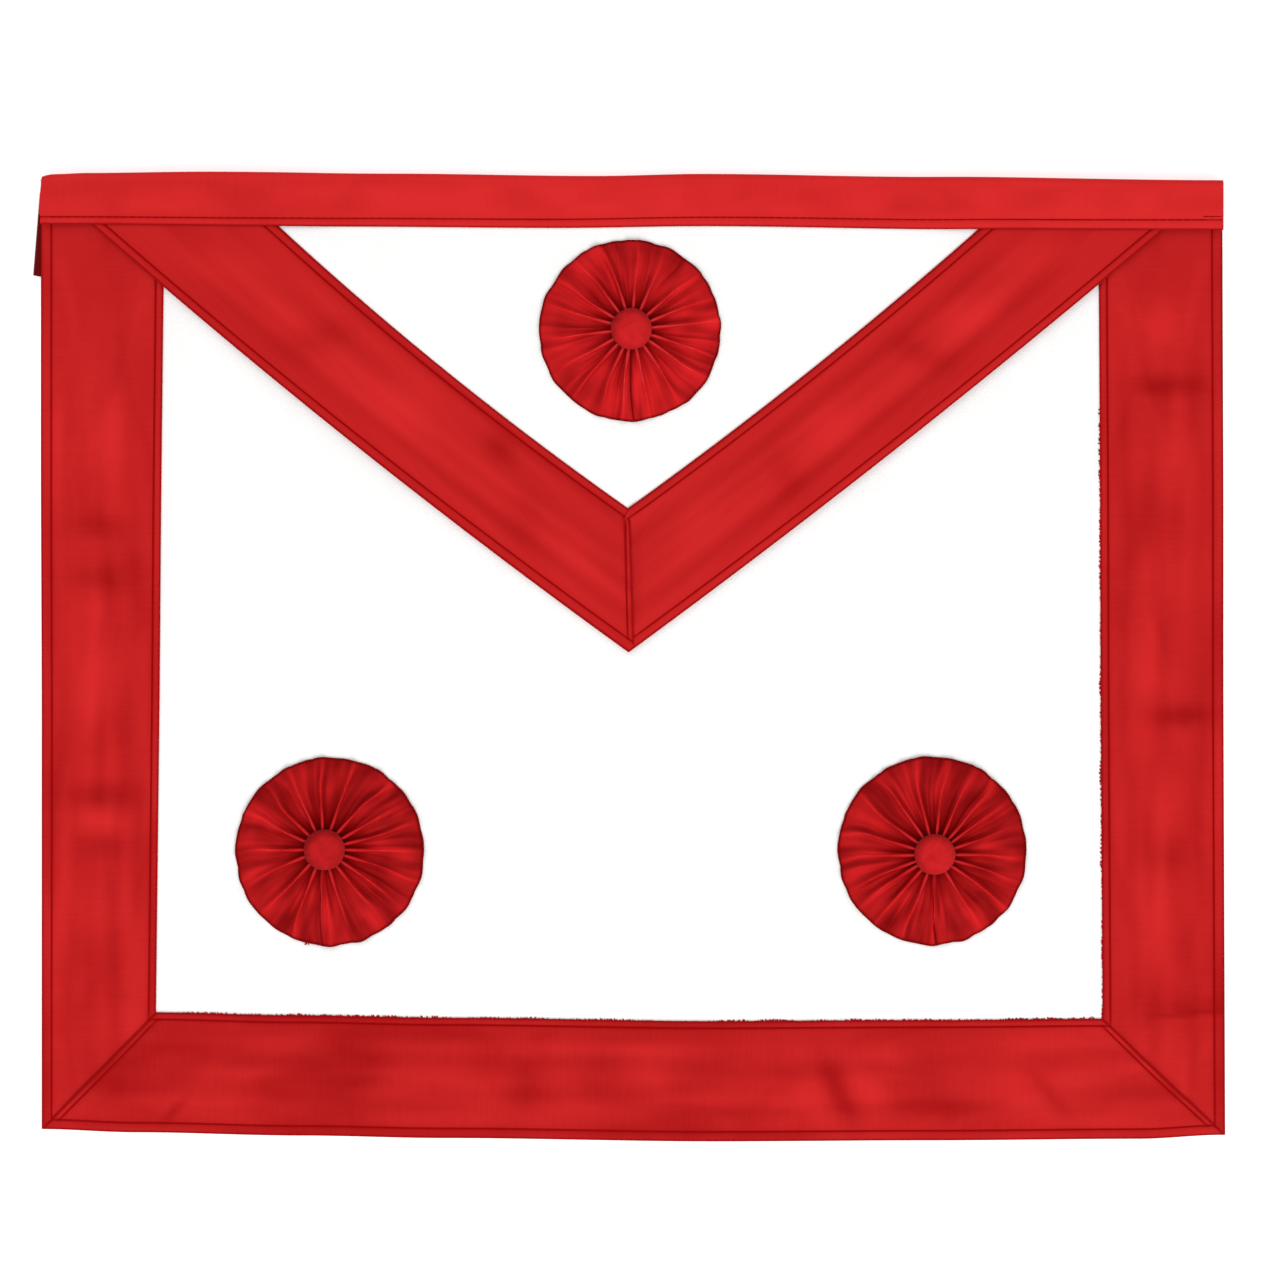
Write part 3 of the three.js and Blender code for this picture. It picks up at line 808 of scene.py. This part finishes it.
def band_spot(u, v):
    level = mix(-half_width, half_width, u)
    depth = top_edge(level) - hem_at(level)
    front = band_level(level)
    back = body_front(height) - leather - layer
    back_depth = mix(13, band_fold + air, smooth(abs(level), half_width - 39, half_width - 26.5))
    seam = unsewn
    if v < band_front:
        above = (depth - band_fold) * v / band_front
        below = depth - above
        seam = abs(above - band_seam(level))
        middle = smooth(above, 3, 8) * (1 - smooth(above, depth - 5, depth - band_fold))
        end = min(level + half_width, half_width - level)
        waves = noise.noise(Vector((level / 13, above / 10, 51.5)))
        pucker = noise.noise(Vector((level / 4.5, above / 8, 55.5))) * math.exp(-seam / 3)
        z = front - band_press - 0.55 * math.exp(-((above / 0.6) ** 2))
        z -= 0.38 * math.exp(-((seam / 0.5) ** 2))
        z += middle * (0.3 + 0.3 * waves) + 0.14 * pucker - 0.4 * math.exp(-((end / 0.8) ** 2))
        # painted light on the swells, and lighter towards the right
        light = 0.45 + 0.3 * smooth(level, -110, -10) + 0.5 * waves * middle
        # painted shade along the front hem's edge
        painted_shading = 1.1 * math.exp(-((above / 0.4) ** 2))
    else:
        turn = (v - band_front) / (1 - band_front)
        light, painted_shading = 0.6, 0
        if turn < 0.3:
            angle = math.pi / 2 * turn / 0.3
            below = band_fold * (1 - math.sin(angle))
            z = front - band_press - band_fold * (1 - math.cos(angle))
        elif turn < 0.5:
            below, z = 0, mix(front - band_press - band_fold, back + band_fold, (turn - 0.3) / 0.2)
        elif turn < 0.75:
            angle = math.pi / 2 * (turn - 0.5) / 0.25
            below, z = band_fold * (1 - math.cos(angle)), back + band_fold * (1 - math.sin(angle))
        else:
            below, z = mix(band_fold, back_depth, (turn - 0.75) / 0.25), back
    turned_in = 0.7 - 1.3 * min(1, below / depth) + 0.7 * smooth(below, depth - 4.5, depth - 2)
    x = mix(-half_width + turned_in, right_edge(height), u)
    rounded = 0.45 * math.exp(-((x + half_width - 0.7) / 1.2)) * (1 - smooth(below, 0, 4))
    return x, top_edge(x) - rounded - below, z, level, below, seam, light, painted_shading


band = thicken(lay("waistband_cloth", band_rows, 60, band_spot, ribbon_marks), ribbon_wall)
finish(band, moire_ribbon, "red_ribbon", "waistband")


def hem_row(distance, over=0):
    """A place on the waistband's row of stitches, or over mm above it."""
    level = distance - half_width
    depth = top_edge(level) - hem_at(level)
    above = band_seam(level) + over
    return band_spot(distance / (2 * half_width), band_front * above / (depth - band_fold))


band_end = 2 * half_width
backstitch = sew(lambda distance: hem_row(distance, 1.05), band_end - 7, band_end - 0.4, pitch=2.1)
stitching("waistband_stitches", [sew(hem_row, 3, band_end - 3), backstitch])


# Belt: a strap of doubled ribbon from each end of the waistband, folded flat behind the apron. Its short
# end is sewn to the apron's back, and its free end carries a fitting. Its cloth is the ribbon with darker
# colours, as painted shade for the waistband's shadow, and more painted shade lies at its fold.
belt_width = 28.2
belt_length = 235
belt_top = height - 4.4 - band_fold - air
belt_round = 1.15  # the radius of its fold
belt_wall = 0.85
shaded_belt_ribbon = ribbon_cloth(
    "shaded_belt_ribbon", (0.12, 0.0003, 0.0006), (0.62, 0.014, 0.015), (0.66, 0.02, 0.021), 0.25, 0.06
)


def belt_spot(side, tilt, inset, u, v):
    lip, bend = 14, math.pi * belt_round
    run = (lip + bend + belt_length) * u
    if run < lip:
        along, z = lip - run, 2 * belt_round
    elif run < lip + bend:
        angle = (run - lip) / belt_round
        along, z = -belt_round * math.sin(angle) + belt_round, belt_round * (1 + math.cos(angle))
    else:
        along, z = run - lip - bend, 0
        along = max(along, 0) + belt_round * (1 - smooth(along, 0, 4))
    behind = 1 - z / (2 * belt_round)
    lean = behind * 2 * tilt
    across = 1 - v
    fold = belt_width / math.cos(tilt)
    x = side * (half_width - inset + math.sin(tilt) * fold * across) - side * math.cos(lean) * along
    y = belt_top - math.cos(tilt) * fold * across - math.sin(lean) * along
    rib = 0.1 * math.cos(2 * math.pi * v * 2) if z == 0 else 0
    seam = min(across, 1 - across) * belt_width
    # painted shade, deepest at the fold
    painted_shading = 0.1 + 0.55 * (1 - smooth(along, 0, 6))
    return x, y, z + 0.05 + max(rib, 0), run, across * belt_width, abs(seam - 1.6), 0, painted_shading


for side, key, tilt, inset in ((-1, "left", 4.6, -0.7), (1, "right", 0.5, 0)):
    strap = lay(
        f"belt_{key}_strap",
        190,
        20,
        lambda u, v, side=side, tilt=tilt, inset=inset: belt_spot(side, math.radians(tilt), inset, u, v),
        ribbon_marks,
    )
    finish(thicken(strap, belt_wall), shaded_belt_ribbon, "red_ribbon", f"belt_{key}")


# Hook and ring: flat pieces cut from nickel-plated sheet, sewn to the straps' free ends. Their edges are
# rounded over, and the plating is finely scratched.
nickel, plate = material("brushed_nickel", Metallic=1.0)
spot = object_place(nickel)
brushed = spot.stretched(0.15, 1, 1).mottle(0.4, 3)
spot.mottle(9, 3).rise(0.3, 0.8).colour((0.6, 0.59, 0.57), (0.74, 0.73, 0.71)).feed(plate, "Base Color")
(0.22 + 0.2 * brushed).feed(plate, "Roughness")
(0.012 * brushed).bump(plate)

for key in ("belt_hook", "belt_ring"):
    bpy.ops.object.select_all(action="DESELECT")
    frame["nodes"][key].select_set(True)
    bpy.context.view_layer.objects.active = frame["nodes"][key]
    bpy.ops.object.duplicate()
    fitting = bpy.context.object
    fitting.name = fitting.data.name = f"{key}_plate"
    fitting.parent = None
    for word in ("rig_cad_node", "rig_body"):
        if word in fitting:
            del fitting[word]
    bpy.ops.object.mode_set(mode="EDIT")
    bpy.ops.mesh.select_all(action="SELECT")
    bpy.ops.mesh.remove_doubles(threshold=0.00001)
    bpy.ops.mesh.dissolve_limited(angle_limit=math.radians(1))
    bpy.ops.object.mode_set(mode="OBJECT")
    bpy.ops.object.modifier_add(type="BEVEL")
    fitting.modifiers[-1].width = 0.2 * MM
    fitting.modifiers[-1].segments = 3
    fitting.modifiers[-1].limit_method = "ANGLE"
    bpy.ops.object.modifier_apply(modifier=fitting.modifiers[-1].name)
    bpy.ops.object.shade_smooth_by_angle(angle=math.radians(35))
    finish(fitting, nickel, "belt_metal", key)


# Rosettes: each is one length of ribbon, gathered tightly round a button and joined by lapping one end
# over the other below it. Its pleats are sharp at the hub and die out towards the rim.
# the rosettes' ribbon: its deep colour takes the painted shade in the pleats, and its bright colour is the
# painted highlight on the crests
rosette_cloth = ribbon_cloth(
    "gathered_ribbon", (0.17, 0.0002, 0.0005), (0.67, 0.0135, 0.016), (0.75, 0.055, 0.062), 0.2, 0.04
)
rosette_wall = 0.45
hub_radius = 5.2
hub_height = 4.9
lap = 9  # degrees by which the ribbon's ends overlap
crest_rows = [(0, hub_height), (0.12, 5.0), (0.32, 4.6), (0.58, 3.7), (0.82, 2.5), (1, 1.4)]
rosettes = {
    "flap": {
        "radius": 30.7,
        "stray": (-0.5, -0.3),
        "seam": -91,
        "seat": flap_front,
        "shade": 0.1,
        "crests": (85, 65, 42, 23, 5, -16, -33, -53, -76, -98, -114, -133, -151, -174, 164, 147, 126, 106),
    },
    "left": {
        "radius": 32,
        "stray": (1.7, -0.85),
        "seam": -98,
        "seat": body_front,
        "shade": -0.24,
        "crests": (96, 74, 53, 33, 16, 0, -16, -35, -54, -77, -97, -116, -136, -161, 180, 157, 138, 117),
    },
    "right": {
        "radius": 32,
        "stray": (-0.5, 1),
        "seam": -91,
        "seat": body_front,
        "shade": -0.22,
        "crests": (
            83, 64, 46, 34, 16, -2, -18, -35, -58, -90, -109, -129, -146, -158, -177, 165, 146, 124, 104,
        ),
    },
}


def folds(crests, minor, angle, out):
    """How far a gathered ribbon stands up at an angle and a share of the way out, in mm, how much painted
    shade it takes in its folds, and how much painted highlight shines on its crests. A band of painted
    shade lies beside each crest and each smaller fold, on its upper side, and the painted shade is deeper
    on the rosette's upper half."""
    nearest = []
    for at, bend, strength, reach in crests:
        off = (angle - at - bend * out * out + 180) % 360 - 180
        nearest.append((abs(off), off, strength, reach))
    nearest.sort()
    first = nearest[0]
    other = next((entry for entry in nearest[1:] if entry[1] * first[1] <= 0), nearest[1])
    gap = max(1, abs(first[1]) + abs(other[1]))
    share = min(1, 2 * abs(first[1]) / gap)
    swell = mix(first[2], other[2], 0.5 * share)
    reach = mix(first[3], other[3], 0.5 * share)
    slim = mix(4.5, 1.1, smooth(out, 0, 0.4)) + 0.9 * smooth(out, 0.65, 1)
    sharp = math.exp(-((first[0] / slim) ** 2))
    ridge = 0.5 * sharp + 0.5 * (1 - share) ** 1.4
    depth = mix(3.0, 0.55, smooth(out, 0, reach)) * swell
    raised = -depth * (1 - ridge)
    glint = sharp * (1 - smooth(out, 0.45, reach))
    upward = 1 if math.cos(math.radians(angle)) > 0 else -1
    # painted shade beside each crest, on its upper side, away from the key light
    crease = math.exp(-(((first[1] * upward - mix(5.5, 2.4, out)) / mix(2.6, 1.2, out)) ** 2))
    sunk = (1 - ridge) ** 1.2 * mix(1, 0.3, smooth(out, 0.0, 0.5))
    sunk += 0.5 * crease * (1 - smooth(out, 0.4, reach))
    for at, bend, strength, width in minor:
        off = (angle - at - bend * out + 180) % 360 - 180
        small = strength * smooth(out, 0.12, 0.45) * math.exp(-((off / width) ** 2))
        raised += 1.2 * small
        glint += 0.5 * small * (1 - smooth(out, 0.75, 1))
        # painted shade beside each smaller fold, on its upper side
        beneath = math.exp(-(((off * upward - 1.6 * width) / width) ** 2))
        sunk += 0.35 * strength * smooth(out, 0.1, 0.35) * beneath
    # the painted shade is deeper on the upper half
    return raised, sunk * mix(0.7, 1.15, 0.5 + 0.5 * math.sin(math.radians(angle))), glint


def rosette_marks(key):
    """The main pleats of a rosette and the smaller folds between them. Each has its angle, how far it bends
    on its way out, its strength, and how far out or how wide it reaches."""
    chance = random.Random({"flap": 3, "left": 5, "right": 8}[key])
    crests = [
        (at, chance.uniform(-4, 4), chance.uniform(0.85, 1.15), chance.uniform(0.8, 1.4))
        for at in rosettes[key]["crests"]
    ]
    minor = [
        (
            at + chance.uniform(*gap),
            chance.uniform(-4, 4),
            chance.uniform(0.1, 0.6),
            chance.uniform(1.1, 2.4),
        )
        for at in rosettes[key]["crests"]
        for gap in ((4, 8), (10, 15))
    ]
    return crests, minor


bpy.context.view_layer.update()
for key, facts in rosettes.items():
    low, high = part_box(f"button_{key}")
    hub = ((low.x + high.x) / 2 - centre, (low.y + high.y) / 2 - foot)
    hub = (hub[0] / MM, hub[1] / MM)
    crests, minor = rosette_marks(key)
    radius, stray, seat = facts["radius"], facts["stray"], facts["seat"]

    def rosette_spot(u, v):
        angle = facts["seam"] + (360 + lap) * u + 5 * (v - 0.2) ** 2
        turn = math.radians(angle)
        sway = noise.noise(Vector((math.cos(turn) * 2.6, math.sin(turn) * 2.6, radius + 1.7 * v)))
        angle += 4.5 * sway * smooth(v, 0.15, 0.9)
        raised, sunk, glint = folds(crests, minor, angle, v)
        bent = Vector((math.cos(math.radians(angle)), math.sin(math.radians(angle)), 0))
        wobble = noise.noise(Vector((math.cos(turn) * 3.1, math.sin(turn) * 3.1, radius)))
        kinks = abs(noise.noise(Vector((math.cos(turn) * 4.6, math.sin(turn) * 4.6, radius + 9))))
        bulge = 0.12 * math.sin(turn * 19) * v**3
        out = mix(hub_radius, radius + 0.35 * wobble + 0.7 * (kinks - 0.2) + bulge, v)
        x = hub[0] + out * math.cos(turn) + stray[0] * v
        y = hub[1] + out * math.sin(turn) + stray[1] * v
        lapped = 1 - smooth(u * (360 + lap), lap, lap + 5)
        z = eased(crest_rows, v) + air + raised + 0.5 * lapped + 0.5 * wobble * v * v
        z = mix(z, min(z, hub_height), 1 - smooth(v, 0.04, 0.12))
        z -= 0.35 * math.exp(-(((1 - v) * (radius - hub_radius) / 0.6) ** 2))
        # painted shade along the rim
        rim_shade = math.exp(-(((1 - v) * (radius - hub_radius) / 0.55) ** 2))
        lip = math.exp(-((u * (360 + lap) * math.pi / 180 * out / 0.5) ** 2))
        # painted shade in the pleats' valleys and along the rim, and a painted shadow at the lapped end's
        # edge
        fold = 0.38 * sunk + 0.8 * rim_shade + 0.6 * lip
        # painted light on the flat strip beside the lap
        flat = smooth(u * (360 + lap), 1, 5) * (1 - smooth(u * (360 + lap), 16, 26)) * smooth(v, 0.2, 0.6)
        wide = noise.noise(5 * bent + Vector((0, 0, radius + 2.4 * v)))
        narrow = noise.noise(14 * bent + Vector((0, 0, radius + 3 * v + 5)))
        # painted highlights on the crests, and painted light and shade in bands towards the rim
        light = 0.2 + facts["shade"] + 1.7 * glint * (1 - 0.4 * v) + 0.35 * flat
        light += smooth(v, 0.15, 0.5) * (0.75 * wide + 0.45 * narrow)
        z = seat(y) + max(z, rosette_wall + air)
        return x, y, z, turn * radius, v * (radius - hub_radius), unsewn, light, fold

    gathered = lay(f"rosette_{key}_ribbon", 560, 54, rosette_spot, ribbon_marks)
    thicken(gathered, rosette_wall, 60)
    finish(gathered, rosette_cloth, "red_ribbon", f"rosette_{key}")
    (radius - hub_radius) * MM
    2 * math.pi * radius * MM
    "flap_leather" if key == "flap" else "body_leather"


# Buttons: a domed shell under red felt, pulled down into each rosette's hub. The felt is slightly fuzzy,
# and takes painted shade towards its rim, most on its upper left, and all over its underside where it turns
# under; the left button is darker all over. A plug of it under the dome fills the hub down to the leather.
felt, nap = material(
    "red_felt", Specular_IOR_Level=0.1, Sheen_Weight=0.08, Sheen_Roughness=0.6, Roughness=0.95
)
nap.inputs["Sheen Tint"].default_value = (1, 0.3, 0.3, 1)
spot = object_place(felt)
fuzz = spot.mottle(0.35, 5)
matted = spot.mottle(3.5, 3, 0.8)
# this mark holds the felt's painted shade
turned = Shade(felt.node_tree).make("ShaderNodeAttribute", {"attribute_name": "rim_shade"}, {}, "Fac")
tone = 0.2 * fuzz + 0.65 * matted - 0.5 * turned
tone.rise(-0.5, 0.9).colour((0.24, 0.001, 0.002), (0.64, 0.014, 0.017)).feed(nap, "Base Color")
(0.14 * fuzz + 0.12 * matted).bump(nap)

plug_radius = 4.6
plug_foot = 0.1  # over the leather
shank = 5.25  # from the leather to the middle of the felt's turned edge
lip, cup = 0.5, -0.25  # heights of the felt's widest ring and of the dome's underside, from there
felt_share = 0.965  # of the CAD button's radius
for key in rosettes:
    low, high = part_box(f"button_{key}")
    button_base = low.z + shank * MM
    middle = Vector(((low.x + high.x) / 2, (low.y + high.y) / 2, button_base))
    radius = felt_share * (high.x - low.x) / 2
    bpy.ops.object.select_all(action="DESELECT")
    bpy.ops.mesh.primitive_uv_sphere_add(segments=64, ring_count=32, radius=1)
    shell = bpy.context.object
    shell.name = shell.data.name = f"button_{key}_felt"
    top = high.z - button_base
    heights = []
    for corner in shell.data.vertices:
        across = math.hypot(corner.co.x, corner.co.y)
        up = corner.co.z
        lump = 1 + 0.03 * noise.noise(corner.co * 1.7 + Vector((radius, 0, low.x * 40)))
        if up < 0:
            ring = math.asin(min(1, -up)) / (math.pi / 2)
            spread = mix(radius, plug_radius * MM, smooth(ring, 0, 0.3)) * (1 - smooth(ring, 0.7, 1))
            tall = mix(lip * MM, cup * MM, smooth(ring, 0, 0.3))
            tall = mix(tall, (plug_foot - shank) * MM, smooth(ring, 0.3, 0.7))
        else:
            tall = lip * MM + (top - lip * MM) * up
            spread = radius * across
        heading = math.atan2(corner.co.y, corner.co.x)
        towards = 0.7 * (corner.co.y - corner.co.x) / max(across, 0.01)
        # painted shade: more towards the rim and its upper left, all over the underside, and the left
        # button darker all over
        shade = 0.45 if key == "left" else 0.05
        heights.append(shade + (smooth(across, 0.5, 1) * (0.65 + 0.5 * towards) if up > 0 else 1))
        corner.co = middle + Vector(
            (spread * lump * math.cos(heading), spread * lump * math.sin(heading), tall)
        )
    rims = shell.data.attributes.new("rim_shade", "FLOAT", "POINT")
    rims.data.foreach_set("value", heights)
    bpy.ops.object.shade_smooth()
    finish(shell, felt, "red_felt", f"button_{key}")


# Frayed edges: the cut inner edges of the right and bottom ribbons have lost a thread or two, and short
# tufts stand out over the leather. One more stands out of the left rosette's rim, beside its seam.
loose_thread, _ = material(
    "frayed_thread", Base_Color=(0.36, 0.004, 0.012, 1), Roughness=0.8, Specular_IOR_Level=0.05
)
bpy.ops.object.select_all(action="DESELECT")
bpy.ops.mesh.primitive_cone_add(vertices=5, radius1=0.15 * MM, radius2=0.08 * MM, depth=1)
bpy.ops.object.mode_set(mode="EDIT")
bpy.ops.mesh.select_all(action="SELECT")
bpy.ops.transform.translate(value=(0, 0, 0.5))
bpy.ops.object.mode_set(mode="OBJECT")
tuft = bpy.context.object
tuft_corners = [corner.co.copy() for corner in tuft.data.vertices]
tuft_faces = [tuple(face.vertices) for face in tuft.data.polygons]
bpy.data.objects.remove(tuft)


def fray(name, spot, start, end, outward, seed, spacing=0.5, reach=1):
    """Tufts along an edge whose places are spot(distance): short threads that lean out over the leather."""
    chance = random.Random(seed)
    turns = []
    distance = start
    while distance < end:
        distance += chance.expovariate(1 / spacing)
        thick = 1 + 0.5 * noise.noise(Vector((distance / 11, seed, 0.5)))
        edge = place(*spot(distance)[:3]) - Vector((0, 0, 0.3 * MM)) - outward * 0.3 * MM
        slant = [chance.uniform(-0.9, 0.9), chance.uniform(-0.9, 0.9), chance.uniform(-0.25, 0.1)]
        lean = outward + Vector(slant)
        turn = lean.to_track_quat("Z", "Y").to_matrix().to_4x4()
        long = chance.uniform(0.4, 0.85) * thick * reach * MM
        wide = chance.uniform(1.4, 2.8) * thick
        turns.append(Matrix.Translation(edge) @ turn @ Matrix.Diagonal((wide, wide, long, 1)))
    finish(copies(name, tuft_corners, tuft_faces, turns), loose_thread, "red_ribbon")


fray(
    "frayed_edge_right",
    lambda along: side_spot("right", along, side_width - 0.05),
    4,
    235,
    Vector((-1, 0, 0)),
    7,
)
fray(
    "frayed_edge_bottom",
    lambda along: bottom_spot(along, bottom_width - 0.05),
    4,
    bottom_length - 4,
    Vector((0, 1, 0)),
    9,
)
low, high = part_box("button_left")
rim_x = ((low.x + high.x) / 2 - centre) / MM + rosettes["left"]["stray"][0] - 8.2
rim_y = ((low.y + high.y) / 2 - foot) / MM + rosettes["left"]["stray"][1] - 30.6
fray(
    "frayed_rosette_left",
    lambda along: (rim_x + along, rim_y - 0.2 * along, body_front(rim_y) + 1.2),
    0,
    1.1,
    Vector((-0.25, -1, 0)),
    4,
    spacing=0.12,
    reach=2.4,
)
